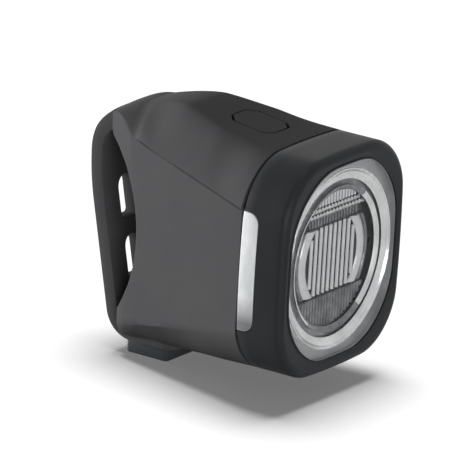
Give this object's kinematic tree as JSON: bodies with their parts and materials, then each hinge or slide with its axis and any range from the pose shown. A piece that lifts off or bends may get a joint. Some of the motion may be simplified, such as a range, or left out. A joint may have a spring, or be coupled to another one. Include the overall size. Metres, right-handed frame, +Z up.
{
  "type": "bicycle headlight",
  "caption": "Compact bicycle headlight with a rounded-square lens, side windows, a silicone jacket with a top button and a holed silicone strap that wraps the handlebar onto a hook.",
  "frame": {"origin": "axis of a 31.8 mm handlebar seated in the concave rear, midway across the light's width", "axes": "+X along the handlebar towards the light's left side as the rider sees it from behind with the beam ahead, -Y the way the beam shines, +Z up"},
  "size_m": [0.0398, 0.0524, 0.0504],
  "materials": {
    "bezel_black": "satin moulded black",
    "clear_lens": "clear polished polycarbonate",
    "clear_optic": "clear fluted acrylic",
    "clear_window": "clear to milky polycarbonate",
    "seal_black": "matte black seal",
    "mirror_coat": "metallised satin mirror",
    "emitter": "yellow phosphor under a clear dome",
    "board_white": "white solder mask",
    "board_green": "green solder mask",
    "steel": "bright steel",
    "aluminium": "plain aluminium",
    "shell_black": "textured moulded black",
    "silicone_black": "matte black silicone",
    "white_plastic": "natural white moulding",
    "switch_grey": "dark moulding",
    "lead_red": "red insulation",
    "lead_black": "black insulation",
    "cell_foil": "pouch cell foil",
    "foam": "dark foam tape"
  },
  "bodies": {
    "light": {"front_bezel": "bezel_black", "cover_lens": "clear_lens", "lens_gasket": "seal_black", "optic_lens": "clear_optic", "reflector": "mirror_coat", "led_emitter": "emitter", "led_board": "board_white", "led_board_screws": "steel", "heat_sink": "aluminium", "heat_sink_screws": "steel", "side_window_right": "clear_window", "side_window_left": "clear_window", "body_gasket": "seal_black", "inner_shell": "shell_black", "silicone_jacket": "silicone_black", "tact_switch": "switch_grey", "control_board": "board_green", "led_leads": "lead_red", "battery_cell": "cell_foil", "battery_pads": "foam", "charge_board": "board_green", "charge_port": "steel", "charge_leads": "lead_black", "strap_hook": "shell_black", "hook_screw": "steel"},
    "button": {"mode_button": "silicone_black", "button_plunger": "white_plastic"},
    "stem": {"switch_stem": "white_plastic"},
    "strap": {"strap_band": "silicone_black", "strap_end": "silicone_black"},
    "cover": {"port_cover": "silicone_black"}
  },
  "joints": [
    {"name": "button_press", "type": "slide", "parent": "light", "child": "button", "axis": [0, 0, -1], "range_m": [0, 0.0008], "stiffness_N_per_m": 3000},
    {"name": "switch_stem_slide", "type": "slide", "parent": "light", "child": "stem", "axis": [0, 0, -1], "range_m": [0, 0.0003]},
    {"name": "strap_swing", "type": "hinge", "parent": "light", "child": "strap", "pos_m": [0, -0.00665, 0.0229], "axis": [1, 0, 0], "range_deg": [0, 100], "stiffness_Nm_per_rad": 0.02, "deforming": ["strap_end"]},
    {"name": "port_cover_swing", "type": "hinge", "parent": "light", "child": "cover", "pos_m": [0, -0.03478, -0.01905], "axis": [-1, 0, 0], "range_deg": [0, 100]}
  ],
  "couplings": [
    {"joint": "switch_stem_slide", "follows": "button_press", "ratio": 0.375}
  ]
}
